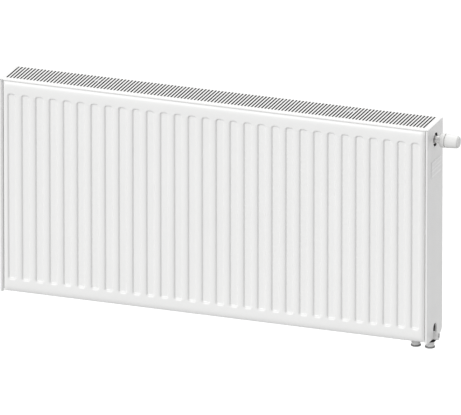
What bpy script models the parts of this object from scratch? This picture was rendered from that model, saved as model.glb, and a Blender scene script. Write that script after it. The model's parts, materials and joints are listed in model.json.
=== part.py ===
"""A double-panel steel radiator, 500 mm high, 1000 mm long and 100 mm deep, with a built-in valve.

Frame: +X runs along the radiator to the valve end, -Y faces the room, +Y faces the wall, +Z is up.
The origin is at mid-length, on the wall-side plane and level with the panels' bottom seam.
"""

import math

import bmesh
import bpy
from mathutils import Matrix, Vector

MM = 0.001
GAP = 0.3 * MM  # clearance kept between pieces that touch
CUT_MARGIN = 5 * MM  # how far a cutter runs past what it cuts

# Whole object
LENGTH = 1000 * MM  # of the two water panels
HEIGHT = 500 * MM
DEPTH = 100 * MM
PANEL_TOP = 497.5 * MM  # upper seam of the panels, under the grille

# Water panels: two pressed sheets each
SHEET = 1.25 * MM
FLUTES = 30
FLUTE_PITCH = 33.0 * MM
FLUTE_FLOOR_HALF = 7.4 * MM
FLUTE_WALL_RUN = 3.3 * MM
FLUTE_END_RUN = 6.0 * MM
FLUTE_CORNER = 4.5 * MM
FLUTE_BOTTOM = 27.0 * MM  # outer edge of the lower end wall
FLUTE_TOP = 469.5 * MM
OUTER_FLUTE_DEPTH = 4.0 * MM
INNER_FLUTE_DEPTH = 3.7 * MM
PANEL_THICKNESS = 11.3 * MM
OUTER_SEAM_BACK = 6.1 * MM  # how far the outer sheet curves back to the seam
INNER_SEAM_BACK = 2.4 * MM
LONG_EDGE_CURVE = 25 * MM
LONG_EDGE_STEPS = (0, 0.12, 0.35, 1)  # shares of the curve where the sheet bends
SHORT_EDGE_CURVE = 10 * MM
SHORT_EDGE_STEPS = (0, 0.3, 1)
FRONT_FACE_Y = -DEPTH
REAR_FACE_Y = -8.5 * MM
FRONT_INNER_Y = FRONT_FACE_Y + PANEL_THICKNESS
REAR_INNER_Y = REAR_FACE_Y - PANEL_THICKNESS

# Convectors
FIN_SHEET = 0.6 * MM
FIN_HEIGHT = 27 * MM
FIN_WALL_RUN = 4.5 * MM
FIN_BOTTOM = 34 * MM
FIN_TOP = 458 * MM
FIN_WAVES = 26

# Grille
GRILLE_SHEET = 0.8 * MM
GRILLE_FRONT_Y = -96 * MM
GRILLE_LIP = 3.3 * MM
GRILLE_REAR_LIP = 12 * MM  # deeper, to hide the gap behind the rear panel
LIP_END_X = 499.5 * MM  # the lips stop short of the side panels' own lips
SLOTS = 125
SLOT_PITCH = 7.96 * MM
SLOT_WIDTH = 3.9 * MM
SLOT_FRONT_Y = -82.5 * MM
SLOT_REAR_Y = -4.6 * MM
FIRST_SLOT_X = -496.2 * MM

# Side panels
SIDE_X = 507.7 * MM  # outer face
SIDE_SHEET = 0.9 * MM
SIDE_BOTTOM = -2 * MM
SIDE_TOP = HEIGHT - GRILLE_SHEET - GAP
FRONT_LIP = 3.9 * MM
REAR_LIP = 7 * MM
RETURN_LIP = 6 * MM
LIP_SLANT = 3.2 * MM  # the return lip leans towards the panel and closes the gap
VALVE_HOLE_R = 15.6 * MM
NOTCH_HALF = 11.6 * MM
NOTCH_TOP = 31.5 * MM
NOTCH_RIM_DEPTH = 3 * MM
SIDE_CORNER = 9 * MM  # chamfer at the lower rear corner

# Label and grille clips
LABEL_SHEET = 0.25 * MM
LABEL_FRONT_Y = -76 * MM
LABEL_REAR_Y = -12 * MM
LABEL_LOW_Z = 380 * MM
LABEL_HIGH_Z = 417 * MM
CLIP_X = 300 * MM
CLIP_SHEET = 0.8 * MM
CLIP_HALF_WIDTH = 9 * MM
CLIP_REACH = 12 * MM
CLIP_FOOT_Z = 470 * MM
CLIP_LIP = 5 * MM

# Pipework, all on one line between the panels
PIPE_Y = -48 * MM
VALVE_Z = 463.5 * MM
SUPPLY_X = 462.9 * MM
RETURN_X = 496.2 * MM
LOW_Z = 1.5 * MM  # axis of the side outlets
CROSS_X = 479.5 * MM
CROSS_LOW_Z = 13 * MM
CROSS_R = 8 * MM
CROSS_BORE_R = 6.5 * MM
CROSS_PORT_R = 2.2 * MM
CROSS_PORT_LOW_Z = 7 * MM
OUTLET_R = 9.6 * MM
OUTLET_BORE_R = 6 * MM
OUTLET_INNER_X = CROSS_X + CROSS_R + GAP
OUTLET_END_X = 516.9 * MM
NECK_R = 7 * MM
NECK_BORE_R = 5.2 * MM
NECK_BOTTOM = -8.7 * MM
WASHER_R = 13.2 * MM
WASHER_BORE_R = 5.5 * MM
WASHER_BOTTOM = -11.7 * MM
STUB_R = 10.2 * MM
STUB_BORE_R = 8 * MM
STUB_SHOULDER = 2 * MM
STUB_BOTTOM = -23 * MM
END_SEAL_R = 11.4 * MM
END_SEAL_BOTTOM = -27 * MM
RISER_R = 7.5 * MM
RISER_BORE_R = 5.5 * MM
RISER_BASE_R = 8.2 * MM
RISER_BASE_TOP = 9.7 * MM
BRACKET_Z = 30 * MM
BRACKET_FLANGE = 12 * MM
BRACKET_SHEET = 1.5 * MM
BRACKET_HALF_WIDTH = 13 * MM

# Valve: places along X, inside the radiator first and then outwards from the side panel
HOUSING_START = 446 * MM
HOUSING_END = 499 * MM
HOUSING_R = 12.5 * MM
HOUSING_BORE_R = 9 * MM
CHAMBER_START = 452 * MM
SEAT_START = 470 * MM
SEAT_END = 472.4 * MM
SEAT_BORE_R = 5 * MM
PORT_X = 486 * MM
PORT_R = 8 * MM
PORT_BORE_R = 5 * MM
PORT_REACH = 16 * MM
INLET_BOSS_R = 9 * MM
INLET_BOSS_DROP = 15.5 * MM
INSERT_START = 493 * MM
INSERT_TUBE_R = 8.7 * MM
INSERT_FLANGE_R = 11.5 * MM
INSERT_FLANGE_END = 504 * MM
NECK_OUT_R = 8.5 * MM
POCKET_START = SIDE_X + 17 * MM
POCKET_R = 8 * MM
THREAD_R = 12.6 * MM
THREAD_END = SIDE_X + 30 * MM
COLLAR_START = SIDE_X + 13.8 * MM
COLLAR_END = SIDE_X + 23.7 * MM
COLLAR_R = 16.2 * MM
CAP_START = SIDE_X + 26.0 * MM
CAP_END = SIDE_X + 54.0 * MM
CAP_R = 16.2 * MM
CAP_TIP_R = 13.7 * MM
CAP_TRAVEL = 2.0 * MM
CAP_WALL = 2.2 * MM
CAP_BOSS_R = 4 * MM
CAP_SKIRT_END = SIDE_X + 40 * MM
CAP_ROUND = 2 * MM
END_DISC_R = 12.6 * MM
END_DISC_TIP_R = 11.6 * MM
END_DISC_END = SIDE_X + 55.6 * MM
PIN_R = 2.2 * MM
PIN_TIP_X = SIDE_X + 36.0 * MM
PIN_SHOULDER_R = 6.5 * MM
PIN_SHOULDER_START = SIDE_X + 30.5 * MM
PIN_SHOULDER_END = SIDE_X + 32.0 * MM
PIN_CLEARANCE = 0.4 * MM
SEAL_DISC_R = 7.4 * MM
SEAL_DISC_END = SEAT_END + 5.0 * MM
SPRING_R = 5 * MM
SPRING_WIRE_R = 0.5 * MM
SPRING_TURNS = 4
SPRING_STEPS_PER_TURN = 10

# Far end, measured along -X
BOSS_END = 503 * MM
VENT_BOSS_R = 12.5 * MM
VENT_BOSS_BORE_R = 9.2 * MM
VENT_SHANK_R = 8.7 * MM
VENT_HEAD_R = 13.0 * MM
VENT_HEAD_TIP_R = 11.5 * MM
VENT_HEAD_START = 505.3 * MM
VENT_HEAD_SHOULDER = 510.0 * MM
VENT_HEAD_END = 511.5 * MM
VENT_BORE_R = 3.4 * MM
SCREW_R = 3.0 * MM
SCREW_TIP_R = 1.2 * MM
SCREW_END = 513.5 * MM
KEY_HALF = 2.5 * MM
KEY_LENGTH = 4 * MM
SEAL_THICKNESS = 1.7 * MM
BLIND_BOSS_BORE_R = 8 * MM
BLIND_BOSS_END = 509.5 * MM
BLIND_SHANK_R = 7.6 * MM
BLIND_HEAD_R = 10.5 * MM
BLIND_HEAD_TIP_R = 9.5 * MM
BLIND_HEAD_START = 511.8 * MM
BLIND_HEAD_SHOULDER = 515.5 * MM
BLIND_HEAD_END = 516.9 * MM

# Hanging lugs
LUG_X = FLUTE_PITCH * ((FLUTES - 1) / 2 - 3)
LUG_HALF_WIDTH = 21.5 * MM
LUG_SHEET = 2.0 * MM
LUG_LOW_Z = 62 * MM  # lower edge of the lower pair
LUG_HIGH_Z = 402 * MM
LUG_DROP = 30 * MM
LUG_FLANGE = 14 * MM
LUG_OUTER_Y = -0.5 * MM

SEGMENTS = 16  # facets round a small or hidden piece
FINE_SEGMENTS = 24


def clear_scene():
    for leftover in list(bpy.data.objects):
        bpy.data.objects.remove(leftover, do_unlink=True)


def make_collection(name):
    collection = bpy.data.collections.new(name)
    bpy.context.scene.collection.children.link(collection)
    return collection


def make_material(name, colour, roughness, metallic=0.0):
    material = bpy.data.materials.new(name)
    material.use_nodes = True
    shader = material.node_tree.nodes["Principled BSDF"]
    shader.inputs["Base Color"].default_value = (*colour, 1.0)
    shader.inputs["Roughness"].default_value = roughness
    shader.inputs["Metallic"].default_value = metallic
    return material


clear_scene()
PARTS = make_collection("panel_radiator")
CUTTERS = make_collection("cutters")

WHITE_STEEL = make_material("white_steel", (0.86, 0.86, 0.86), 0.35)
WHITE_PLASTIC = make_material("white_plastic", (0.87, 0.87, 0.86), 0.4)
NICKEL = make_material("nickel", (0.62, 0.62, 0.60), 0.25, 1.0)
SPRING_STEEL = make_material("spring_steel", (0.55, 0.56, 0.58), 0.35, 1.0)
BLACK_RUBBER = make_material("black_rubber", (0.02, 0.02, 0.02), 0.7)
GREY_RUBBER = make_material("grey_rubber", (0.12, 0.12, 0.12), 0.6)
STICKER = make_material("sticker", (0.80, 0.81, 0.82), 0.3)


def add_object(name, mesh, material):
    mesh.materials.append(material)
    piece = bpy.data.objects.new(name, mesh)
    PARTS.objects.link(piece)
    return piece


def mesh_from(name, bm):
    bmesh.ops.recalc_face_normals(bm, faces=bm.faces[:])
    mesh = bpy.data.meshes.new(name)
    bm.to_mesh(mesh)
    bm.free()
    return mesh


def as_cutter(piece):
    for collection in list(piece.users_collection):
        collection.objects.unlink(piece)
    CUTTERS.objects.link(piece)
    piece.hide_render = True
    piece.display_type = "WIRE"
    return piece


def combine(piece, other, operation):
    modifier = piece.modifiers.new(operation.lower(), "BOOLEAN")
    modifier.operation = operation
    modifier.solver = "EXACT"
    modifier.object = as_cutter(other)


def box(name, low, high, material):
    bm = bmesh.new()
    size = Vector(high) - Vector(low)
    middle = (Vector(high) + Vector(low)) / 2
    bmesh.ops.create_cube(bm, size=1.0, matrix=Matrix.Translation(middle) @ Matrix.Diagonal((*size, 1.0)))
    return add_object(name, mesh_from(name, bm), material)


def turned(name, profile, material, centre, axis="X", segments=SEGMENTS, phase=0.0):
    """Turns (radius, height) points round an axis through centre, with the heights along the axis.

    A profile whose ends lie on the axis makes a solid piece, and any other profile closes into a ring.
    phase turns the facets, in facet widths, so that crossing pieces have no facets in one plane.
    """
    points = list(profile)
    on_axis = points[0][0] == 0 and points[-1][0] == 0
    closed = points + points[:1]
    area = sum(a[0] * b[1] - b[0] * a[1] for a, b in zip(closed, closed[1:]))
    if area > 0:
        points.reverse()
    count = len(points)
    edges = [(i, i + 1) for i in range(count - 1)]
    if not on_axis:
        edges.append((count - 1, 0))
    mesh = bpy.data.meshes.new(name)
    turn = 2 * math.pi * phase / segments
    corners = [(radius * math.cos(turn), radius * math.sin(turn), height) for radius, height in points]
    mesh.from_pydata(corners, edges, [])
    piece = add_object(name, mesh, material)
    screw = piece.modifiers.new("turn", "SCREW")
    screw.axis = "Z"
    screw.steps = segments
    screw.render_steps = segments
    screw.use_merge_vertices = True
    screw.merge_threshold = 0.00001
    screw.use_smooth_shade = True
    piece.location = centre
    if axis == "X":
        piece.rotation_euler = (0, math.pi / 2, 0)
    elif axis == "Y":
        piece.rotation_euler = (-math.pi / 2, 0, 0)
    return piece


def tube(name, outer, bore, start, end, material, centre, axis="X", segments=SEGMENTS):
    profile = [(bore, start), (bore, end), (outer, end), (outer, start)]
    return turned(name, profile, material, centre, axis, segments)


def rod(name, radius, start, end, material, centre, axis="X", segments=SEGMENTS, phase=0.0):
    profile = [(0, start), (radius, start), (radius, end), (0, end)]
    return turned(name, profile, material, centre, axis, segments, phase)


def strip(name, profile, thickness, low, high, axis, material, side=-1):
    """A bent strip: an open outline swept along an axis, then thickened.

    The outline holds (y, z) points for axis X, and (x, y) points for axis Z. side is -1 where the
    thickness lies to the left of the outline, +1 to the right, and 0 for half on each side.
    """
    bm = bmesh.new()
    rows = []
    for level in (low, high):
        if axis == "X":
            rows.append([bm.verts.new((level, y, z)) for y, z in profile])
        else:
            rows.append([bm.verts.new((x, y, level)) for x, y in profile])
    for i in range(len(profile) - 1):
        bm.faces.new((rows[0][i], rows[0][i + 1], rows[1][i + 1], rows[1][i]))
    mesh = bpy.data.meshes.new(name)
    bm.to_mesh(mesh)
    bm.free()
    piece = add_object(name, mesh, material)
    solidify = piece.modifiers.new("thickness", "SOLIDIFY")
    solidify.thickness = thickness
    solidify.offset = side
    solidify.use_even_offset = True
    return piece


# Water panels


def edge_share(distance, reach, power):
    """How much of the way back to the seam a sheet has curved, at a distance from its edge."""
    return max(0.0, 1 - distance / reach) ** power


def seam_share(x, z):
    across = edge_share(LENGTH / 2 - abs(x), SHORT_EDGE_CURVE, 3)
    up = edge_share(min(z, PANEL_TOP - z), LONG_EDGE_CURVE, 4)
    return 1 - (1 - across) * (1 - up)


def flute_centres(skip):
    first = -FLUTE_PITCH * (FLUTES - 1) / 2
    return [first + FLUTE_PITCH * i for i in range(skip, FLUTES - skip)]


def pressed_sheet(name, face_y, into, flute_depth, seam_back, skip_flutes, rounded):
    """A sheet with upright flutes, drawn on its visible face and thickened into the panel.

    into is +1 where the panel's inside lies towards +Y from the face, and -1 where it lies towards -Y.
    """
    half_flute = FLUTE_FLOOR_HALF + FLUTE_WALL_RUN
    side_lines = [share * SHORT_EDGE_CURVE for share in SHORT_EDGE_STEPS]
    end_lines = [share * LONG_EDGE_CURVE for share in LONG_EDGE_STEPS]
    xs = [-LENGTH / 2 + d for d in side_lines]
    for centre in flute_centres(skip_flutes):
        xs += [centre - half_flute, centre + half_flute]
    xs += [LENGTH / 2 - d for d in reversed(side_lines)]
    zs = end_lines + [FLUTE_BOTTOM, FLUTE_TOP] + [PANEL_TOP - d for d in reversed(end_lines)]
    bm = bmesh.new()
    bmesh.ops.create_grid(bm, x_segments=len(xs) - 1, y_segments=len(zs) - 1, size=0.5)
    bm.verts.ensure_lookup_table()
    for vert in bm.verts:
        x = xs[round((vert.co.x + 0.5) * (len(xs) - 1))]
        z = zs[round((vert.co.y + 0.5) * (len(zs) - 1))]
        vert.co = (x, face_y + into * seam_back * seam_share(x, z), z)
    centres = flute_centres(skip_flutes)
    flutes = []
    for face in bm.faces:
        middle = face.calc_center_median()
        in_flute = any(abs(middle.x - centre) < MM for centre in centres)
        if in_flute and FLUTE_BOTTOM < middle.z < FLUTE_TOP:
            flutes.append(face)
    bm.normal_update()
    bmesh.ops.inset_individual(bm, faces=flutes, thickness=FLUTE_WALL_RUN, use_even_offset=True)
    for face in flutes:
        bottom = min(vert.co.z for vert in face.verts)
        for vert in face.verts:
            shift = FLUTE_END_RUN - FLUTE_WALL_RUN
            vert.co.z += shift if abs(vert.co.z - bottom) < MM else -shift
            vert.co.y = face_y + into * flute_depth
    if rounded:
        floor_verts = {vert for face in flutes for vert in face.verts}
        corners = [e for e in bm.edges if len(floor_verts & set(e.verts)) == 1]
        bmesh.ops.bevel(bm, geom=corners, offset=FLUTE_CORNER, segments=1, profile=0.5, affect="EDGES")
    bmesh.ops.recalc_face_normals(bm, faces=bm.faces[:])
    shell = bmesh.ops.extrude_face_region(bm, geom=bm.faces[:])
    moved = [item for item in shell["geom"] if isinstance(item, bmesh.types.BMVert)]
    bmesh.ops.translate(bm, verts=moved, vec=(0, into * SHEET, 0))
    return add_object(name, mesh_from(name, bm), WHITE_STEEL)


def make_panels():
    sheets = (
        ("front_outer_sheet", FRONT_FACE_Y, 1, OUTER_FLUTE_DEPTH, OUTER_SEAM_BACK, 0, True),
        ("front_inner_sheet", FRONT_INNER_Y, -1, INNER_FLUTE_DEPTH, INNER_SEAM_BACK, 1, False),
        ("rear_inner_sheet", REAR_INNER_Y, 1, INNER_FLUTE_DEPTH, INNER_SEAM_BACK, 1, False),
        ("rear_outer_sheet", REAR_FACE_Y, -1, OUTER_FLUTE_DEPTH, OUTER_SEAM_BACK, 0, False),
    )
    for sheet in sheets:
        pressed_sheet(*sheet)


def make_convector(name, foot_y, out):
    """A folded fin sheet whose feet stand on a panel's inner sheet, with its crests towards out."""
    foot_y = foot_y + out * (GAP + FIN_SHEET / 2)
    crest_y = foot_y + out * FIN_HEIGHT
    flat = FLUTE_PITCH / 2 - FIN_WALL_RUN
    start = -FLUTE_PITCH * FIN_WAVES / 2
    points = [(start, foot_y)]
    for i in range(FIN_WAVES):
        x = start + FLUTE_PITCH * i + flat / 2
        points += [(x, foot_y), (x + FIN_WALL_RUN, crest_y)]
        points += [(x + FIN_WALL_RUN + flat, crest_y), (x + 2 * FIN_WALL_RUN + flat, foot_y)]
    points.append((-start, foot_y))
    strip(name, points, FIN_SHEET, FIN_BOTTOM, FIN_TOP, "Z", WHITE_STEEL, 0)


# Covers


def make_grille():
    """A folded tray with a row of slots, cut by leaving faces out before the sheet is thickened."""
    xs = [-SIDE_X, -LIP_END_X]
    for i in range(SLOTS):
        centre = FIRST_SLOT_X + SLOT_PITCH * i
        xs += [centre - SLOT_WIDTH / 2, centre + SLOT_WIDTH / 2]
    xs += [LIP_END_X, SIDE_X]
    section = [
        (GRILLE_FRONT_Y, HEIGHT - GRILLE_LIP),
        (GRILLE_FRONT_Y, HEIGHT),
        (SLOT_FRONT_Y, HEIGHT),
        (SLOT_REAR_Y, HEIGHT),
        (0, HEIGHT),
        (0, HEIGHT - GRILLE_REAR_LIP),
    ]
    bm = bmesh.new()
    bmesh.ops.create_grid(bm, x_segments=len(xs) - 1, y_segments=len(section) - 1, size=0.5)
    for vert in bm.verts:
        column = round((vert.co.x + 0.5) * (len(xs) - 1))
        row = round((vert.co.y + 0.5) * (len(section) - 1))
        vert.co = (xs[column], *section[row])
    unwanted = []
    for face in bm.faces:
        middle = face.calc_center_median()
        past_lip = abs(middle.x) > LIP_END_X and middle.z < HEIGHT - 0.5 * MM
        nearest = round((middle.x - FIRST_SLOT_X) / SLOT_PITCH)
        on_slot = 0 <= nearest < SLOTS and abs(middle.x - FIRST_SLOT_X - SLOT_PITCH * nearest) < 0.5 * MM
        if past_lip or (on_slot and SLOT_FRONT_Y < middle.y < SLOT_REAR_Y):
            unwanted.append(face)
    bmesh.ops.delete(bm, geom=unwanted, context="FACES")
    bmesh.ops.recalc_face_normals(bm, faces=bm.faces[:])
    mesh = bpy.data.meshes.new("top_grille")
    bm.to_mesh(mesh)
    bm.free()
    piece = add_object("top_grille", mesh, WHITE_STEEL)
    upward = sum(polygon.normal.z for polygon in mesh.polygons) > 0
    solidify = piece.modifiers.new("thickness", "SOLIDIFY")
    solidify.thickness = GRILLE_SHEET
    solidify.offset = -1 if upward else 1
    solidify.use_even_offset = True


def notch_block(name, side, half_width, top, low_x, high_x):
    """The outline of the notch as a solid: a round-topped upright slot, run through along X."""
    bm = bmesh.new()
    outline = [(PIPE_Y + half_width, SIDE_BOTTOM - CUT_MARGIN)]
    steps = FINE_SEGMENTS // 2
    for i in range(steps + 1):
        angle = math.pi * i / steps
        y = PIPE_Y + half_width * math.cos(angle)
        outline.append((y, top - half_width + half_width * math.sin(angle)))
    outline.append((PIPE_Y - half_width, SIDE_BOTTOM - CUT_MARGIN))
    face = bm.faces.new([bm.verts.new((side * low_x, y, z)) for y, z in outline])
    shell = bmesh.ops.extrude_face_region(bm, geom=[face])
    moved = [item for item in shell["geom"] if isinstance(item, bmesh.types.BMVert)]
    bmesh.ops.translate(bm, verts=moved, vec=(side * (high_x - low_x), 0, 0))
    return add_object(name, mesh_from(name, bm), WHITE_STEEL)


def make_side_panel(name, side):
    """A channel-shaped cover. side is +1 for the valve end and -1 for the other end."""
    section = [
        (SIDE_X - FRONT_LIP - LIP_SLANT, FRONT_FACE_Y + RETURN_LIP),
        (SIDE_X - FRONT_LIP, FRONT_FACE_Y),
        (SIDE_X, FRONT_FACE_Y),
        (SIDE_X, 0),
        (SIDE_X - REAR_LIP, 0),
    ]
    section = [(side * x, y) for x, y in section]
    panel = strip(name, section, SIDE_SHEET, SIDE_BOTTOM, SIDE_TOP, "Z", WHITE_STEEL, -side)
    label = "right" if side > 0 else "left"
    rim_x = SIDE_X - SIDE_SHEET - NOTCH_RIM_DEPTH
    rim_size = (NOTCH_HALF + SIDE_SHEET, NOTCH_TOP + SIDE_SHEET)
    combine(panel, notch_block(label + "_notch_rim", side, *rim_size, rim_x, SIDE_X - GAP), "UNION")
    ends = sorted((side * (rim_x - CUT_MARGIN), side * (SIDE_X + CUT_MARGIN)))
    low = (ends[0], -DEPTH, SIDE_BOTTOM - 2 * CUT_MARGIN)
    below = box(label + "_below", low, (ends[1], 0, SIDE_BOTTOM), WHITE_STEEL)
    combine(panel, below, "DIFFERENCE")
    notch_ends = (rim_x - CUT_MARGIN, SIDE_X + CUT_MARGIN)
    combine(panel, notch_block(label + "_notch", side, NOTCH_HALF, NOTCH_TOP, *notch_ends), "DIFFERENCE")
    centre = (side * SIDE_X, PIPE_Y, VALVE_Z)
    hole_ends = (-2 * CUT_MARGIN, 2 * CUT_MARGIN)
    hole = rod(label + "_hole", VALVE_HOLE_R, *hole_ends, WHITE_STEEL, centre, segments=FINE_SEGMENTS)
    combine(panel, hole, "DIFFERENCE")
    half = Vector((SIDE_CORNER, 1.5 * SIDE_CORNER, SIDE_CORNER / math.sqrt(2)))
    corner = box(label + "_corner", -half, half, WHITE_STEEL)
    corner.location = (side * (SIDE_X - REAR_LIP / 2), 0, SIDE_BOTTOM)
    corner.rotation_euler = (math.pi / 4, 0, 0)
    combine(panel, corner, "DIFFERENCE")


def make_sticker():
    low_x = SIDE_X + GAP
    low = (low_x, LABEL_FRONT_Y, LABEL_LOW_Z)
    box("blank_label", low, (low_x + LABEL_SHEET, LABEL_REAR_Y, LABEL_HIGH_Z), STICKER)


def make_grille_clips():
    """Bent strips that hook on the panels' inner sheets and carry the grille."""
    under_grille = HEIGHT - GRILLE_SHEET - GAP
    for x, end in ((-CLIP_X, "left"), (CLIP_X, "right")):
        for face_y, out, side in ((FRONT_INNER_Y, 1, "front"), (REAR_INNER_Y, -1, "rear")):
            near = face_y + out * GAP
            far = near + out * CLIP_REACH
            outline = [
                (near, CLIP_FOOT_Z),
                (near, under_grille),
                (far, under_grille),
                (far, under_grille - CLIP_LIP),
            ]
            ends = (x - CLIP_HALF_WIDTH, x + CLIP_HALF_WIDTH)
            strip(f"grille_clip_{side}_{end}", outline, CLIP_SHEET, *ends, "X", SPRING_STEEL, out)


# Pipework


def make_cross_tubes():
    front = FRONT_INNER_Y + GAP
    rear = REAR_INNER_Y - GAP
    places = (
        ("return_cross_tube", CROSS_X, CROSS_LOW_Z),
        ("left_lower_cross_tube", -CROSS_X, CROSS_LOW_Z),
        ("left_upper_cross_tube", -CROSS_X, VALVE_Z),
    )
    for name, x, z in places:
        piece = tube(name, CROSS_R, CROSS_BORE_R, front, rear, WHITE_STEEL, (x, 0, z), "Y")
        centre = (x, PIPE_Y, VALVE_Z if z == VALVE_Z else CROSS_PORT_LOW_Z)
        start = 0 if x > 0 else -2 * CROSS_R
        port = rod(name + "_port", CROSS_PORT_R, start, start + 2 * CROSS_R, WHITE_STEEL, centre)
        combine(piece, port, "DIFFERENCE")


def make_connection(name, x):
    """A threaded socket that points down, with a washer above it and a flat seal at its mouth."""
    centre = (x, PIPE_Y, 0)
    washer_top = NECK_BOTTOM - GAP
    stub_top = WASHER_BOTTOM - GAP
    ends = (WASHER_BOTTOM, washer_top)
    tube(name + "_washer", WASHER_R, WASHER_BORE_R, *ends, BLACK_RUBBER, centre, "Z", FINE_SEGMENTS)
    profile = [
        (WASHER_BORE_R, stub_top),
        (STUB_R, stub_top),
        (STUB_R, STUB_BOTTOM),
        (STUB_BORE_R, STUB_BOTTOM),
        (STUB_BORE_R, stub_top - STUB_SHOULDER),
        (WASHER_BORE_R, stub_top - STUB_SHOULDER),
    ]
    turned(name + "_socket", profile, WHITE_STEEL, centre, "Z", FINE_SEGMENTS)
    ends = (END_SEAL_BOTTOM, STUB_BOTTOM - GAP)
    tube(name + "_end_seal", END_SEAL_R, STUB_BORE_R, *ends, GREY_RUBBER, centre, "Z", FINE_SEGMENTS)


def make_return_outlet():
    centre = (0, PIPE_Y, LOW_Z)
    below = (RETURN_X, PIPE_Y, 0)
    ends = (OUTLET_INNER_X, OUTLET_END_X)
    piece = rod("return_outlet", OUTLET_R, *ends, WHITE_STEEL, centre, segments=FINE_SEGMENTS)
    neck = rod("return_neck", NECK_R, NECK_BOTTOM, LOW_Z - MM, WHITE_STEEL, below, "Z", phase=0.3)
    combine(piece, neck, "UNION")
    ends = (OUTLET_INNER_X - CUT_MARGIN, OUTLET_END_X + CUT_MARGIN)
    clear = rod("return_clear", OUTLET_BORE_R, *ends, WHITE_STEEL, centre, segments=FINE_SEGMENTS, phase=0.2)
    combine(piece, clear, "DIFFERENCE")
    ends = (NECK_BOTTOM - CUT_MARGIN, LOW_Z - 2 * MM)
    combine(piece, rod("return_bore", NECK_BORE_R, *ends, WHITE_STEEL, below, "Z", phase=0.4), "DIFFERENCE")


def make_supply_line():
    centre = (SUPPLY_X, PIPE_Y, 0)
    tube("riser_base", RISER_BASE_R, RISER_BORE_R, NECK_BOTTOM, RISER_BASE_TOP, NICKEL, centre, "Z")
    riser_top = VALVE_Z - INLET_BOSS_DROP - GAP
    tube("riser_pipe", RISER_R, RISER_BORE_R, RISER_BASE_TOP + GAP, riser_top, WHITE_STEEL, centre, "Z")
    front = FRONT_INNER_Y + GAP
    rear = REAR_INNER_Y - GAP
    flange_top = BRACKET_Z + BRACKET_FLANGE
    outline = [(front, flange_top), (front, BRACKET_Z), (rear, BRACKET_Z), (rear, flange_top)]
    ends = (SUPPLY_X - BRACKET_HALF_WIDTH, SUPPLY_X + BRACKET_HALF_WIDTH)
    bracket = strip("connection_bracket", outline, BRACKET_SHEET, *ends, "X", WHITE_STEEL)
    ends = (BRACKET_Z - CUT_MARGIN, BRACKET_Z + CUT_MARGIN)
    combine(bracket, rod("bracket_hole", RISER_R + GAP, *ends, WHITE_STEEL, centre, "Z"), "DIFFERENCE")


def make_valve_housing():
    """A solid body with an inlet boss below and a port boss on each side, then bored out."""
    centre = (0, PIPE_Y, VALVE_Z)
    inlet_centre = (SUPPLY_X, PIPE_Y, 0)
    port_centre = (PORT_X, PIPE_Y, VALVE_Z)
    drop = VALVE_Z - INLET_BOSS_DROP
    housing = rod("valve_housing", HOUSING_R, HOUSING_START, HOUSING_END, WHITE_STEEL, centre)
    boss = rod("inlet_boss", INLET_BOSS_R, drop, VALVE_Z - 2 * MM, WHITE_STEEL, inlet_centre, "Z", phase=0.3)
    combine(housing, boss, "UNION")
    ports = rod("port_bosses", PORT_R, -PORT_REACH, PORT_REACH, WHITE_STEEL, port_centre, "Y", phase=0.4)
    combine(housing, ports, "UNION")
    profile = [
        (0, CHAMBER_START),
        (HOUSING_BORE_R, CHAMBER_START),
        (HOUSING_BORE_R, SEAT_START),
        (SEAT_BORE_R, SEAT_START),
        (SEAT_BORE_R, SEAT_END),
        (HOUSING_BORE_R, SEAT_END),
        (HOUSING_BORE_R, HOUSING_END + CUT_MARGIN),
        (0, HOUSING_END + CUT_MARGIN),
    ]
    combine(housing, turned("valve_bore", profile, WHITE_STEEL, centre, phase=0.2), "DIFFERENCE")
    ends = (drop - CUT_MARGIN, VALVE_Z - 3 * MM)
    inlet = rod("inlet_bore", RISER_BORE_R, *ends, WHITE_STEEL, inlet_centre, "Z", phase=0.1)
    combine(housing, inlet, "DIFFERENCE")
    reach = PORT_REACH + CUT_MARGIN
    port = rod("port_bore", PORT_BORE_R, -reach, reach, WHITE_STEEL, port_centre, "Y", phase=0.6)
    combine(housing, port, "DIFFERENCE")
    for y, end, word in ((FRONT_INNER_Y, 1, "front"), (REAR_INNER_Y, -1, "rear")):
        wall = y + end * GAP
        port_end = PIPE_Y - end * (PORT_REACH + GAP)
        low, high = min(wall, port_end), max(wall, port_end)
        tube(f"valve_outlet_{word}", PORT_R, PORT_BORE_R, low, high, WHITE_STEEL, (PORT_X, 0, VALVE_Z), "Y")


def make_valve_insert():
    centre = (0, PIPE_Y, VALVE_Z)
    pin_bore = PIN_R + PIN_CLEARANCE
    profile = [
        (pin_bore, INSERT_START),
        (INSERT_TUBE_R, INSERT_START),
        (INSERT_TUBE_R, HOUSING_END + GAP),
        (INSERT_FLANGE_R, HOUSING_END + GAP),
        (INSERT_FLANGE_R, INSERT_FLANGE_END),
        (NECK_OUT_R, INSERT_FLANGE_END),
        (NECK_OUT_R, COLLAR_START),
        (THREAD_R, COLLAR_START),
        (THREAD_R, THREAD_END),
        (POCKET_R, THREAD_END),
        (POCKET_R, POCKET_START),
        (pin_bore, POCKET_START),
    ]
    turned("valve_insert", profile, NICKEL, centre)
    ends = (COLLAR_START, COLLAR_END)
    tube("lock_collar", COLLAR_R, THREAD_R + GAP, *ends, WHITE_PLASTIC, centre, segments=FINE_SEGMENTS)


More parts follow.
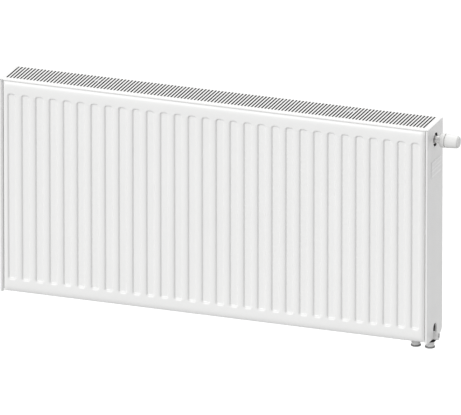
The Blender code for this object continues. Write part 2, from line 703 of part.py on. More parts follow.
def make_spindle():
    """The pin with its sealing disc. It slides along X and springs outwards."""
    centre = (0, PIPE_Y, VALVE_Z)
    pin_start = SEAL_DISC_END + GAP
    profile = [
        (0, pin_start),
        (PIN_R, pin_start),
        (PIN_R, PIN_SHOULDER_START),
        (PIN_SHOULDER_R, PIN_SHOULDER_START),
        (PIN_SHOULDER_R, PIN_SHOULDER_END),
        (PIN_R, PIN_SHOULDER_END),
        (PIN_R, PIN_TIP_X),
        (0, PIN_TIP_X),
    ]
    turned("valve_pin", profile, NICKEL, centre)
    rod("valve_disc", SEAL_DISC_R, SEAT_END + CAP_TRAVEL + GAP, SEAL_DISC_END, BLACK_RUBBER, centre)


def make_valve_spring():
    """A helix between the bottom of the insert's pocket and the pin's shoulder."""
    start = POCKET_START + SPRING_WIRE_R + GAP
    end = PIN_SHOULDER_START - SPRING_WIRE_R - GAP
    steps = SPRING_TURNS * SPRING_STEPS_PER_TURN
    curve = bpy.data.curves.new("valve_spring", "CURVE")
    curve.dimensions = "3D"
    curve.bevel_depth = SPRING_WIRE_R
    curve.bevel_resolution = 1
    curve.use_fill_caps = True
    spline = curve.splines.new("POLY")
    spline.points.add(steps)
    for i, point in enumerate(spline.points):
        angle = 2 * math.pi * i / SPRING_STEPS_PER_TURN
        x = start + (end - start) * i / steps
        point.co = (x, PIPE_Y + SPRING_R * math.cos(angle), VALVE_Z + SPRING_R * math.sin(angle), 1)
    curve.materials.append(SPRING_STEEL)
    PARTS.objects.link(bpy.data.objects.new("valve_spring", curve))


def make_cap():
    """The hand cap turns about X on the insert's thread, and its boss presses on the pin."""
    centre = (0, PIPE_Y, VALVE_Z)
    round_r = CAP_ROUND * 0.3
    profile = [
        (0, CAP_END),
        (0, PIN_TIP_X + GAP),
        (CAP_BOSS_R, PIN_TIP_X + GAP),
        (CAP_BOSS_R, CAP_END - CAP_WALL),
        (CAP_TIP_R - CAP_WALL, CAP_END - CAP_WALL),
        (THREAD_R + GAP, CAP_SKIRT_END),
        (THREAD_R + GAP, CAP_START),
        (CAP_R, CAP_START),
        (CAP_TIP_R + round_r, CAP_END - CAP_ROUND),
        (CAP_TIP_R - round_r, CAP_END),
    ]
    turned("hand_cap", profile, WHITE_PLASTIC, centre, segments=FINE_SEGMENTS)
    profile = [
        (0, CAP_END + GAP),
        (END_DISC_R, CAP_END + GAP),
        (END_DISC_TIP_R, END_DISC_END),
        (0, END_DISC_END),
    ]
    turned("cap_end_disc", profile, WHITE_PLASTIC, centre, segments=FINE_SEGMENTS)


def make_left_end():
    """The two connections at the far end, one closed by a vent plug and one by a blind plug."""
    top = (0, PIPE_Y, VALVE_Z)
    low = (0, PIPE_Y, LOW_Z)
    inner = OUTLET_INNER_X
    tube("vent_boss", VENT_BOSS_R, VENT_BOSS_BORE_R, -BOSS_END, -inner, WHITE_STEEL, top)
    vent_profile = [
        (VENT_BORE_R, -inner - 2 * MM),
        (VENT_SHANK_R, -inner - 2 * MM),
        (VENT_SHANK_R, GAP - VENT_HEAD_START),
        (VENT_HEAD_R, -VENT_HEAD_START),
        (VENT_HEAD_R, -VENT_HEAD_SHOULDER),
        (VENT_HEAD_TIP_R, -VENT_HEAD_END),
        (VENT_BORE_R, -VENT_HEAD_END),
    ]
    turned("vent_plug", vent_profile, NICKEL, top)
    seal_start = BOSS_END + GAP
    ends = (-seal_start - SEAL_THICKNESS, -seal_start)
    tube("vent_plug_seal", VENT_BOSS_R - GAP, VENT_SHANK_R + GAP, *ends, BLACK_RUBBER, top)
    make_vent_screw()
    tube("blind_boss", OUTLET_R, BLIND_BOSS_BORE_R, -BLIND_BOSS_END, -inner, WHITE_STEEL, low)
    blind_profile = [
        (0, -inner - 4 * MM),
        (BLIND_SHANK_R, -inner - 4 * MM),
        (BLIND_SHANK_R, GAP - BLIND_HEAD_START),
        (BLIND_HEAD_R, -BLIND_HEAD_START),
        (BLIND_HEAD_R, -BLIND_HEAD_SHOULDER),
        (BLIND_HEAD_TIP_R, -BLIND_HEAD_END),
        (0, -BLIND_HEAD_END),
    ]
    turned("blind_plug", blind_profile, NICKEL, low)
    seal_start = BLIND_BOSS_END + GAP
    ends = (-seal_start - SEAL_THICKNESS, -seal_start)
    tube("blind_plug_seal", OUTLET_R - GAP, BLIND_SHANK_R + GAP, *ends, BLACK_RUBBER, low)


def make_vent_screw():
    """The bleed screw in the vent plug: a shank with a square key end, turned about X."""
    centre = (0, PIPE_Y, VALVE_Z)
    tip = -OUTLET_INNER_X - 6 * MM
    shoulder = tip - 3 * MM
    profile = [(0, tip), (SCREW_TIP_R, tip), (SCREW_R, shoulder), (SCREW_R, -SCREW_END), (0, -SCREW_END)]
    screw = turned("vent_screw", profile, NICKEL, centre)
    low = (-SCREW_END - KEY_LENGTH, PIPE_Y - KEY_HALF, VALVE_Z - KEY_HALF)
    high = (-SCREW_END + MM, PIPE_Y + KEY_HALF, VALVE_Z + KEY_HALF)
    combine(screw, box("vent_key_end", low, high, NICKEL), "UNION")


def make_lugs():
    """Hanging straps welded on the rear sheet. Each is open at the bottom for a wall hook."""
    weld_y = REAR_FACE_Y + GAP
    plate_y = LUG_OUTER_Y - LUG_SHEET
    for x, end in ((-LUG_X, "left"), (LUG_X, "right")):
        for z, level in ((LUG_LOW_Z, "lower"), (LUG_HIGH_Z, "upper")):
            top = z + LUG_DROP
            outline = [(weld_y, top + LUG_FLANGE), (weld_y, top), (plate_y, top), (plate_y, z)]
            ends = (x - LUG_HALF_WIDTH, x + LUG_HALF_WIDTH)
            strip(f"hanging_lug_{level}_{end}", outline, LUG_SHEET, *ends, "X", WHITE_STEEL)


make_panels()
make_convector("front_convector", FRONT_INNER_Y, 1)
make_convector("rear_convector", REAR_INNER_Y, -1)
make_grille()
make_side_panel("right_side_panel", 1)
make_side_panel("left_side_panel", -1)
make_sticker()
make_grille_clips()
make_cross_tubes()
make_connection("supply", SUPPLY_X)
make_connection("return", RETURN_X)
make_return_outlet()
make_supply_line()
make_valve_housing()
make_valve_insert()
make_spindle()
make_valve_spring()
make_cap()
make_left_end()
make_lugs()
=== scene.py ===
"""The looks of a double-panel steel radiator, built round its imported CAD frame. Metres, +Z up."""

import json
import math

import bmesh
import bpy
from mathutils import Matrix, Vector


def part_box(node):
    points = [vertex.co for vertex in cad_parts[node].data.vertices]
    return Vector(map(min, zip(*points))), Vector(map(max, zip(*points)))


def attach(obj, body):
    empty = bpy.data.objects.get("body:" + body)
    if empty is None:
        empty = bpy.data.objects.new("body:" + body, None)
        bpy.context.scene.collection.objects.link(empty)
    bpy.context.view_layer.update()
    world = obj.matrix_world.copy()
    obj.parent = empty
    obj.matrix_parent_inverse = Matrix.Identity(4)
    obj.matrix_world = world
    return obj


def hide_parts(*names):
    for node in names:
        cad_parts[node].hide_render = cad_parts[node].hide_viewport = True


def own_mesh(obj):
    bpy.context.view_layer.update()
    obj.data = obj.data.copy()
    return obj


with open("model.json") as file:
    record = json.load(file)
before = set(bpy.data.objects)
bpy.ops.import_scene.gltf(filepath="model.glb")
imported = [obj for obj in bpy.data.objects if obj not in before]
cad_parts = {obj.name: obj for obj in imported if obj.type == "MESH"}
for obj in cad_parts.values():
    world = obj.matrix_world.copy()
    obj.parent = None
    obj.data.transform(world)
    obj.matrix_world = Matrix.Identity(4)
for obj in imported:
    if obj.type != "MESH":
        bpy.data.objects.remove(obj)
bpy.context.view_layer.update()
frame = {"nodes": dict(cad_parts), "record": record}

MM = 0.001

# Places read from the frame
FRONT_LOW, FRONT_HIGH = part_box("front_outer_sheet")
GRILLE_LOW, GRILLE_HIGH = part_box("top_grille")
SIDE_LOW, SIDE_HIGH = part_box("right_side_panel")
PANEL_HALF = FRONT_HIGH.x
PANEL_TOP = FRONT_HIGH.z
SIDE_X = GRILLE_HIGH.x
FRONT_Y = FRONT_LOW.y
PIPE_Y = sum(corner.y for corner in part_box("hand_cap")) / 2
VALVE_Z = sum(corner.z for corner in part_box("hand_cap")) / 2
OUTLET_Z = sum(corner.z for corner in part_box("blind_plug")) / 2
RETURN_X = sum(corner.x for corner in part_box("return_socket")) / 2
SUPPLY_X = sum(corner.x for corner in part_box("supply_socket")) / 2

# Water panels
SHEET = 1.25 * MM
# Height from which the painted shade inside the panels darkens towards the panel top, under the grille
SHADE_START = 400 * MM
FLUTES = 30
FLUTE_PITCH = 33.0 * MM
FLUTE_HALF = 10.7 * MM
FLUTE_BOTTOM = 27.0 * MM
FLUTE_TOP = 469.5 * MM
WALL_RUN = 3.3 * MM
TOP_RUN = 5.0 * MM
BOTTOM_RUN = 7.5 * MM
FLUTE_CORNER = 7.5 * MM
OUTER_DEPTH = 4.0 * MM
INNER_DEPTH = 3.7 * MM
OUTER_SEAM_BACK = 6.1 * MM
INNER_SEAM_BACK = 2.4 * MM
LONG_CURVE = 25 * MM
SHORT_CURVE = 10 * MM

# Convectors
FIN_SHEET = 0.6 * MM
FIN_RUN = 4.5 * MM
FIN_BEND = 3.2 * MM
FIN_WAVES = 26

# Grille
GRILLE_SHEET = 0.8 * MM
GRILLE_BEND = 1.2 * MM
FRONT_LIP_DEPTH = 3.3 * MM
SLOTS = 125
SLOT_PITCH = 7.96 * MM
SLOT_HALF = 2.0 * MM
SLOT_FRONT_Y = -82.5 * MM
SLOT_REAR_Y = -4.6 * MM
FIRST_SLOT_X = -496.2 * MM
LIP_END_X = 499.9 * MM
GRILLE_EDGE = 0.22 * MM

# Side panels
SIDE_SHEET = 0.9 * MM
FRONT_LIP = 3.9 * MM
REAR_LIP = 7 * MM
RETURN_LIP = 6 * MM
LIP_SLANT = 3.2 * MM
VALVE_HOLE_R = 15.6 * MM
NOTCH_HALF = 11.6 * MM
NOTCH_TOP = 31.5 * MM
NOTCH_RIM = 3 * MM
CORNER_CUT = 9 * MM
FRONT_BEND = 1.2 * MM
SIDE_BEND = 1.3 * MM
CUT_PAST = 5 * MM  # how far a cutter reaches past the sheet

# A face counts as inward, and gets the painted inner shade, when its cosine towards the middle is above
# these
GRILLE_INWARD = 0.05
RIGHT_INWARD = 0.95
LEFT_INWARD = 0.92

# Label film
LABEL_CORNER = 2 * MM
LABEL_GROUND = (0.90, 0.90, 0.90)

# Clips, lugs and bracket
CLIP_SHEET = 0.8 * MM
CLIP_BEND = 1.2 * MM
CLIP_TAIL = 5 * MM
LUG_SHEET = 2.0 * MM
LUG_FLANGE = 14 * MM
LUG_TOP_BEND = 1.6 * MM
LUG_LOW_BEND = 2.4 * MM
WELD_SHARES = (0.28, 0.72)
WELD_DROP = 8.5 * MM
BRACKET_SHEET = 1.5 * MM
BRACKET_BEND = 2.0 * MM
PRESSED_EDGE = 0.25 * MM
LUG_EDGE = 0.35 * MM

# Pipework
CROSS_BORE = 6.5 * MM
OUTLET_BORE = 5 * MM
RISER_BORE = 5.5 * MM
VENT_BOSS_BORE = 9.2 * MM
BLIND_BOSS_BORE = 8 * MM
VENT_SEAL_BORE = 9 * MM
BLIND_SEAL_BORE = 7.9 * MM
SOCKET_BORE = 8 * MM
SOCKET_NECK_BORE = 5.5 * MM
SOCKET_TURNS = 5
THREAD_DEPTH = 0.7 * MM
SOFT_EDGE = 0.9 * MM

# Valve spring
SPRING_WIRE_R = 0.5 * MM
SPRING_TURNS = 4
SPRING_TURN_STEPS = 32
SPRING_WIRE_STEPS = 10

# Label: bars as shares of its height, from the foot up
LABEL_BARS = ((0.03, 0.13), (0.36, 0.44), (0.60, 0.66), (0.86, 0.93))

# Camera: far off with a long lens, because the view has almost no perspective
AZIMUTH = math.radians(20.315)
ELEVATION = math.radians(19.447)
LENS_MM = 1540
IMAGE_WIDTH = 1.0239  # metres across the picture at the target
TARGET = Vector((0.0637, -0.1577, 0.2855))

# Light
FLOOR_Z = -1.0
SKY_HIGH = 0.72
SKY_LOW = 0.50
KEY = 1.38
KEY_FROM = Vector((-0.45, -0.75, 0.48))
TOP = 1.10
TOP_FROM = Vector((0, 0.50, 0.87))
SPREAD = math.radians(30)


# Materials: the span that most of a noise texture's values lie in
NOISE_LOW = 0.3
NOISE_HIGH = 0.7


class Nodes:
    """A small helper that builds one node material on object coordinates."""

    def __init__(self, name, colour, roughness, metallic=0.0, specular=0.5, coat=0.0):
        self.material = bpy.data.materials.new(name)
        self.material.use_nodes = True
        self.tree = self.material.node_tree
        self.shader = self.tree.nodes["Principled BSDF"]
        self.shader.inputs["Metallic"].default_value = metallic
        self.shader.inputs["Specular IOR Level"].default_value = specular
        self.shader.inputs["Coat Weight"].default_value = coat
        self.shader.inputs["Coat Roughness"].default_value = 0.25
        self.coordinates = self.add("ShaderNodeTexCoord").outputs["Object"]
        self.colour = colour
        self.roughness = roughness

    def add(self, kind, **settings):
        node = self.tree.nodes.new(kind)
        for key, value in settings.items():
            setattr(node, key, value)
        return node

    def link(self, output, socket):
        self.tree.links.new(output, socket)

    def noise(self, scale, detail=2.0, stretch=(1, 1, 1)):
        mapping = self.add("ShaderNodeMapping")
        mapping.inputs["Scale"].default_value = stretch
        self.link(self.coordinates, mapping.inputs["Vector"])
        noise = self.add("ShaderNodeTexNoise")
        noise.inputs["Scale"].default_value = scale
        noise.inputs["Detail"].default_value = detail
        self.link(mapping.outputs["Vector"], noise.inputs["Vector"])
        return noise.outputs["Fac"]

    def ramp(self, factor, low, high):
        ramp = self.add("ShaderNodeValToRGB")
        ramp.color_ramp.elements[0].position = NOISE_LOW
        ramp.color_ramp.elements[1].position = NOISE_HIGH
        ramp.color_ramp.elements[0].color = (*low, 1)
        ramp.color_ramp.elements[1].color = (*high, 1)
        self.link(factor, ramp.inputs["Fac"])
        return ramp.outputs["Color"]

    def vary_colour(self, scale, change, detail=3.0, stretch=(1, 1, 1)):
        """Base colour that drifts by a small share either way."""
        low = [c * (1 - change) for c in self.colour]
        high = [min(1.0, c * (1 + change)) for c in self.colour]
        colour = self.ramp(self.noise(scale, detail, stretch), low, high)
        self.link(colour, self.shader.inputs["Base Color"])
        return colour

    def vary_roughness(self, scale, change, stretch=(1, 1, 1)):
        spread = self.add("ShaderNodeMapRange")
        spread.inputs["From Min"].default_value = NOISE_LOW
        spread.inputs["From Max"].default_value = NOISE_HIGH
        spread.inputs["To Min"].default_value = self.roughness - change
        spread.inputs["To Max"].default_value = self.roughness + change
        self.link(self.noise(scale, 3.0, stretch), spread.inputs["Value"])
        self.link(spread.outputs["Result"], self.shader.inputs["Roughness"])

    def bump(self, layers, distance):
        """Bump from (scale, strength, stretch) layers, each on top of the last."""
        normal = None
        for scale, strength, stretch in layers:
            bump = self.add("ShaderNodeBump")
            bump.inputs["Strength"].default_value = strength
            bump.inputs["Distance"].default_value = distance
            self.link(self.noise(scale, 2.0, stretch), bump.inputs["Height"])
            if normal is not None:
                self.link(normal, bump.inputs["Normal"])
            normal = bump.outputs["Normal"]
        self.link(normal, self.shader.inputs["Normal"])


def powder_coat(name, colour, roughness):
    """White stoved powder paint: a faint orange peel, and a film that drifts slightly in tone and gloss."""
    made = Nodes(name, colour, roughness, specular=0.5, coat=0.12)
    made.vary_colour(6.0, 0.008)
    made.vary_roughness(14.0, 0.04)
    made.bump(((700.0, 0.10, (1, 1, 1)), (160.0, 0.05, (1, 1, 1))), 0.0004)
    return made.material


def painted_inner_shade():
    """Painted shade inside the covers: a dark grey that stands for the shade there, darker still close under
    the grille.
    """
    made = Nodes("inner_painted_shade", (0.20, 0.20, 0.198), 0.62, specular=0.3)
    drift = made.vary_colour(9.0, 0.05)
    split = made.add("ShaderNodeSeparateXYZ")
    made.link(made.coordinates, split.inputs["Vector"])
    # Painted shade: from SHADE_START up, the colour darkens towards near black close under the grille
    height = made.add("ShaderNodeMapRange")
    height.inputs["From Min"].default_value = SHADE_START
    height.inputs["From Max"].default_value = PANEL_TOP
    made.link(split.outputs["Z"], height.inputs["Value"])
    shade_mix = made.add("ShaderNodeMix", data_type="RGBA")
    made.link(height.outputs["Result"], shade_mix.inputs["Factor"])
    made.link(drift, shade_mix.inputs["A"])
    shade_mix.inputs["B"].default_value = (0.07, 0.07, 0.068, 1)
    made.link(shade_mix.outputs["Result"], made.shader.inputs["Base Color"])
    made.vary_roughness(30.0, 0.05)
    made.bump(((500.0, 0.12, (1, 1, 1)),), 0.0003)
    return made.material


def moulded_plastic():
    made = Nodes("white_moulded_plastic", (0.81, 0.81, 0.80), 0.42, specular=0.45)
    made.vary_colour(90.0, 0.006)
    made.vary_roughness(220.0, 0.05)
    made.bump(((2600.0, 0.18, (1, 1, 1)), (300.0, 0.05, (1, 1, 1))), 0.0002)
    return made.material


def metal(name, colour, roughness, lines, tarnish):
    """Machined or plated metal: fine turning lines along one axis, and patches of duller surface."""
    made = Nodes(name, colour, roughness, metallic=1.0)
    made.vary_colour(120.0, tarnish)
    made.vary_roughness(260.0, 0.07)
    made.bump(((900.0, 0.12, lines), (240.0, 0.06, (1, 1, 1))), 0.0002)
    return made.material


def rubber(name, colour):
    made = Nodes(name, colour, 0.68, specular=0.35)
    made.vary_colour(400.0, 0.25)
    made.vary_roughness(300.0, 0.08)
    made.bump(((1800.0, 0.35, (1, 1, 1)), (260.0, 0.12, (1, 1, 1))), 0.0002)
    return made.material


def label_film(low, high):
    """A blank film: a pale ground with plain white bars across it and a white rule at its foot."""
    made = Nodes("blank_label_film", LABEL_GROUND, 0.34)
    split = made.add("ShaderNodeSeparateXYZ")
    made.link(made.coordinates, split.inputs["Vector"])
    across = made.add("ShaderNodeMapRange")
    across.inputs["From Min"].default_value = low.z
    across.inputs["From Max"].default_value = high.z
    made.link(split.outputs["Z"], across.inputs["Value"])
    bands = made.add("ShaderNodeValToRGB")
    bands.color_ramp.interpolation = "CONSTANT"
    bands.color_ramp.elements[0].color = (*LABEL_GROUND, 1)
    bands.color_ramp.elements[1].color = (*LABEL_GROUND, 1)
    for start, end in LABEL_BARS:
        bands.color_ramp.elements.new(start).color = (1, 1, 1, 1)
        bands.color_ramp.elements.new(end).color = (*LABEL_GROUND, 1)
    made.link(across.outputs["Result"], bands.inputs["Fac"])
    dull = made.add("ShaderNodeMix", data_type="RGBA", blend_type="MULTIPLY")
    dull.inputs["Factor"].default_value = 1.0
    made.link(bands.outputs["Color"], dull.inputs["A"])
    made.link(made.ramp(made.noise(60.0), (0.97, 0.97, 0.97), (1, 1, 1)), dull.inputs["B"])
    made.link(dull.outputs["Result"], made.shader.inputs["Base Color"])
    made.vary_roughness(180.0, 0.05)
    made.bump(((500.0, 0.08, (1, 1, 1)),), 0.0002)
    return made.material


def floor_paint():
    made = Nodes("pale_floor", (0.97, 0.97, 0.97), 0.7, specular=0.1)
    made.vary_colour(2.0, 0.004)
    made.vary_roughness(5.0, 0.03)
    return made.material


WHITE = powder_coat("white_powder_coat", (0.875, 0.875, 0.87), 0.36)
# Dark grey painted shade for the surfaces inside the radiator
INNER_PAINTED_SHADE = painted_inner_shade()
PLASTIC = moulded_plastic()
NICKEL = metal("satin_nickel", (0.88, 0.878, 0.87), 0.42, (6, 1, 1), 0.04)
SPRING_STEEL = metal("spring_steel", (0.55, 0.56, 0.58), 0.30, (1, 6, 1), 0.06)
BLACK_RUBBER = rubber("black_rubber", (0.018, 0.018, 0.019))
GREY_RUBBER = rubber("grey_rubber", (0.28, 0.28, 0.28))
LABEL = label_film(*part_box("blank_label"))
FLOOR = floor_paint()

SLOT_MATERIALS = {
    "white_steel": WHITE,
    "white_plastic": PLASTIC,
    "nickel": NICKEL,
    "spring_steel": SPRING_STEEL,
    "black_rubber": BLACK_RUBBER,
    "grey_rubber": GREY_RUBBER,
    "label": LABEL,
}
NODE_SLOT = {part["node"]: part["material_slot"] for part in frame["record"]["subparts"]}
BODIES = frame["record"]["behaviour"]["bodies"]
NODE_BODY = {node: body for body, nodes in BODIES.items() for node in nodes}


# Making pieces


def link_object(name, mesh):
    piece = bpy.data.objects.new(name, mesh)
    bpy.context.scene.collection.objects.link(piece)
    return piece


def baked(piece):
    """Applies the piece's modifiers to its mesh."""
    graph = bpy.context.evaluated_depsgraph_get()
    mesh = bpy.data.meshes.new_from_object(piece.evaluated_get(graph))
    piece.modifiers.clear()
    piece.data = mesh
    return piece


def stands_for(piece, node, material=None, sharp=40):
    """The piece takes the place, body, slot and finish of a CAD node."""
    piece.data.materials.clear()
    piece.data.materials.append(material or SLOT_MATERIALS[NODE_SLOT[node]])
    piece.data.shade_smooth()
    piece.data.set_sharp_from_angle(angle=math.radians(sharp))
    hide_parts(node)
    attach(piece, NODE_BODY[node])
    return piece


def mesh_of(name, bm):
    bmesh.ops.remove_doubles(bm, verts=bm.verts[:], dist=1e-7)
    bmesh.ops.recalc_face_normals(bm, faces=bm.faces[:])
    mesh = bpy.data.meshes.new(name)
    bm.to_mesh(mesh)
    bm.free()
    return mesh


def rounded(points, closed=False, steps=4):
    """Rounds an outline's corners. Each point is (u, v) or (u, v, radius)."""
    result = []
    count = len(points)
    for i, point in enumerate(points):
        radius = point[2] if len(point) > 2 else 0.0
        here = Vector(point[:2])
        if radius == 0.0 or (not closed and i in (0, count - 1)):
            result.append(tuple(here))
            continue
        before = Vector(points[i - 1][:2]) - here
        after = Vector(points[(i + 1) % count][:2]) - here
        half_angle = before.angle(after) / 2
        back = min(radius / math.tan(half_angle), 0.48 * before.length, 0.48 * after.length)
        start = here + before.normalized() * back
        end = here + after.normalized() * back
        for step in range(steps + 1):
            t = step / steps
            result.append(tuple(start * (1 - t) ** 2 + here * 2 * t * (1 - t) + end * t * t))
    return result


AXES = {
    "X": Matrix(((0, 0, 1), (1, 0, 0), (0, 1, 0))),
    "Y": Matrix(((0, 1, 0), (0, 0, 1), (1, 0, 0))),
    "Z": Matrix.Identity(3),
}


def turned(name, profile, axis, centre, segments=72):
    """Turns (radius, place along axis, fillet) points round an axis. Off the axis it closes into a ring."""
    on_axis = profile[0][0] == 0 and profile[-1][0] == 0
    outline = rounded(profile, closed=not on_axis)
    bm = bmesh.new()
    rings = []
    for radius, along in outline:
        ring = []
        for i in range(segments if radius > 0 else 1):
            angle = 2 * math.pi * i / segments
            local = Vector((radius * math.cos(angle), radius * math.sin(angle), along))
            ring.append(bm.verts.new(AXES[axis] @ local + Vector(centre)))
        rings.append(ring)
    pairs = list(zip(rings, rings[1:]))
    if not on_axis:
        pairs.append((rings[-1], rings[0]))
    for first, second in pairs:
        for i in range(segments):
            following = (i + 1) % segments
            corners = [first[i % len(first)], first[following % len(first)]]
            corners += [second[following % len(second)], second[i % len(second)]]
            corners = list(dict.fromkeys(corners))
            if len(corners) > 2:
                bm.faces.new(corners)
    return link_object(name, mesh_of(name, bm))


def ring_for(node, axis, bore, fillet=0.3 * MM, material=None):
    """A fine tube or disc in place of a round CAD node, whose radius and length come from its box."""
    low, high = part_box(node)
    index = "XYZ".index(axis)
    middle = (low + high) / 2
    outer = (high[(index + 1) % 3] - low[(index + 1) % 3]) / 2
    middle[index] = 0
    start, end = low[index], high[index]
    if bore:
        profile = [(bore, start, fillet), (bore, end, fillet), (outer, end, fillet), (outer, start, fillet)]
    else:
        profile = [(0, start), (outer, start, fillet), (outer, end, fillet), (0, end)]
    return stands_for(turned(node + "_fine", profile, axis, middle), node, material)


def folded(name, outline, thickness, low, high, axis, side=-1, edge=0.2 * MM):
    """A bent strip with round bends: (y, z, bend) points swept along X, or (x, y, bend) points along Z."""
    profile = rounded(outline, steps=5)
    bm = bmesh.new()
    rows = []
    for level in (low, high):
        if axis == "X":
            rows.append([bm.verts.new((level, y, z)) for y, z in profile])
        else:
            rows.append([bm.verts.new((x, y, level)) for x, y in profile])
    for i in range(len(profile) - 1):
        bm.faces.new((rows[0][i], rows[0][i + 1], rows[1][i + 1], rows[1][i]))
    mesh = bpy.data.meshes.new(name)
    bm.to_mesh(mesh)
    bm.free()
    piece = link_object(name, mesh)
    solidify = piece.modifiers.new("thickness", "SOLIDIFY")
    solidify.thickness = thickness
    solidify.offset = side
    solidify.use_even_offset = True
    if edge:
        soften(piece, edge)
    return piece


def soften(piece, width, segments=2, angle=50):
    bevel = piece.modifiers.new("soft_edges", "BEVEL")
    bevel.width = width
    bevel.segments = segments
    bevel.limit_method = "ANGLE"
    bevel.angle_limit = math.radians(angle)


def cut(piece, cutter, operation="DIFFERENCE"):
    boolean = piece.modifiers.new(operation.lower(), "BOOLEAN")
    boolean.operation = operation
    boolean.solver = "EXACT"
    boolean.object = cutter
    return cutter


def drop(*cutters):
    for cutter in cutters:
        bpy.data.objects.remove(cutter, do_unlink=True)


# Water panels


def edge_share(distance, reach, power):
    return max(0.0, 1 - distance / reach) ** power


def seam_share(x, z):
    across = edge_share(PANEL_HALF - abs(x), SHORT_CURVE, 3)
    up = edge_share(min(z, PANEL_TOP - z), LONG_CURVE, 4)
    return 1 - (1 - across) * (1 - up)


def flute_share(x, z):
    """0 outside a flute and 1 on its floor: S-shaped walls and round corners."""
    inside_x = FLUTE_HALF - abs(x)
    inside_z = min(z - FLUTE_BOTTOM, FLUTE_TOP - z)
    if inside_x <= 0 or inside_z <= 0:
        return 0.0
    gap_x = max(0.0, FLUTE_CORNER - inside_x)
    gap_z = max(0.0, FLUTE_CORNER - inside_z)
    reach = math.hypot(gap_x, gap_z)
    if reach == 0:
        return 1.0
    end_weight = (gap_z / reach) ** 2
    end_run = TOP_RUN if z > PANEL_TOP / 2 else BOTTOM_RUN
    run = WALL_RUN + (end_run - WALL_RUN) * end_weight
    t = min(1.0, max(0.0, FLUTE_CORNER - reach) / run)
    return t * t * (3 - 2 * t)


def spread(start, end, count):
    return [start + (end - start) * i / count for i in range(count)]


def pressed_sheet(node, into, depth, seam_back, skip, steps):
    """A fine version of one pressed sheet. into is +1 where the panel's inside lies towards +Y."""
    low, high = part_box(node)
    face_y = low.y if into > 0 else high.y
    first = -FLUTE_PITCH * (FLUTES - 1) / 2
    centres = [first + FLUTE_PITCH * i for i in range(skip, FLUTES - skip)]
    wall = FLUTE_CORNER + 0.3 * MM
    columns = [(x, None) for x in spread(-PANEL_HALF, -PANEL_HALF + SHORT_CURVE, steps)]
    columns.append((-PANEL_HALF + SHORT_CURVE, None))
    for centre in centres:
        left = spread(-FLUTE_HALF, -FLUTE_HALF + wall, steps) + [-FLUTE_HALF + wall]
        columns += [(centre + x, centre) for x in left + [-x for x in reversed(left)]]
    columns.append((PANEL_HALF - SHORT_CURVE, None))
    columns += [(-x, None) for x in reversed(spread(-PANEL_HALF, -PANEL_HALF + SHORT_CURVE, steps))]
    lower = spread(0, LONG_CURVE, steps) + [LONG_CURVE]
    lower += spread(FLUTE_BOTTOM, FLUTE_BOTTOM + wall, steps) + [FLUTE_BOTTOM + wall]
    rows = lower + spread(FLUTE_BOTTOM + 2 * wall, FLUTE_TOP - 2 * wall, 6)
    rows += spread(FLUTE_TOP - wall, FLUTE_TOP, steps) + [FLUTE_TOP]
    rows += [PANEL_TOP - z for z in reversed(spread(0, LONG_CURVE, steps) + [LONG_CURVE])]
    bm = bmesh.new()
    layers = []
    for offset in (0, into * SHEET):
        layer = []
        for x, centre in columns:
            line = []
            for z in rows:
                back = seam_back * seam_share(x, z)
                if centre is not None:
                    back += depth * flute_share(x - centre, z)
                line.append(bm.verts.new((x, face_y + into * back + offset, z)))
            layer.append(line)
        layers.append(layer)
    face, inner = layers
    for i in range(len(columns) - 1):
        for j in range(len(rows) - 1):
            bm.faces.new((face[i][j], face[i + 1][j], face[i + 1][j + 1], face[i][j + 1]))
            bm.faces.new((inner[i][j], inner[i][j + 1], inner[i + 1][j + 1], inner[i + 1][j]))
    for i in range(len(columns) - 1):
        for j in (0, len(rows) - 1):
            bm.faces.new((face[i][j], face[i + 1][j], inner[i + 1][j], inner[i][j]))
    for j in range(len(rows) - 1):
        for i in (0, len(columns) - 1):
            bm.faces.new((face[i][j], face[i][j + 1], inner[i][j + 1], inner[i][j]))
    piece = link_object(node + "_fine", mesh_of(node, bm))
    # The outer sheets are white; the inner sheets get the dark painted shade
    return stands_for(piece, node, WHITE if skip == 0 else INNER_PAINTED_SHADE, sharp=55)


def make_panels():
    pressed_sheet("front_outer_sheet", 1, OUTER_DEPTH, OUTER_SEAM_BACK, 0, 10)
    pressed_sheet("rear_outer_sheet", -1, OUTER_DEPTH, OUTER_SEAM_BACK, 0, 7)
    pressed_sheet("front_inner_sheet", -1, INNER_DEPTH, INNER_SEAM_BACK, 1, 5)
    pressed_sheet("rear_inner_sheet", 1, INNER_DEPTH, INNER_SEAM_BACK, 1, 5)


def make_convector(node, out):
    """The folded fin sheet with round folds. out is the side of its crests."""
    low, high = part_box(node)
    foot_y, crest_y = (low.y, high.y) if out > 0 else (high.y, low.y)
    foot_y += out * FIN_SHEET / 2
    crest_y -= out * FIN_SHEET / 2
    flat = FLUTE_PITCH / 2 - FIN_RUN
    start = -FLUTE_PITCH * FIN_WAVES / 2
    outline = [(start, foot_y)]
    for i in range(FIN_WAVES):
        x = start + FLUTE_PITCH * i + flat / 2
        outline += [(x, foot_y, FIN_BEND), (x + FIN_RUN, crest_y, FIN_BEND)]
        outline += [(x + FIN_RUN + flat, crest_y, FIN_BEND), (x + 2 * FIN_RUN + flat, foot_y, FIN_BEND)]
    outline.append((-start, foot_y))
    piece = folded(node + "_fine", outline, FIN_SHEET, low.z, high.z, "Z", 0, edge=0)
    # The fins get the dark painted shade
    stands_for(baked(piece), node, INNER_PAINTED_SHADE)


# Covers


def shade_inward_faces(piece, middle, across, least):
    """Paints shade on the faces that look inwards, with the dark inner painted-shade material. least is the
    cosine that counts as inwards.
    """
    piece.data.materials.append(INNER_PAINTED_SHADE)
    for face in piece.data.polygons:
        inward = (middle - face.center) * across
        if face.normal.dot(inward.normalized()) > least:
            face.material_index = 1


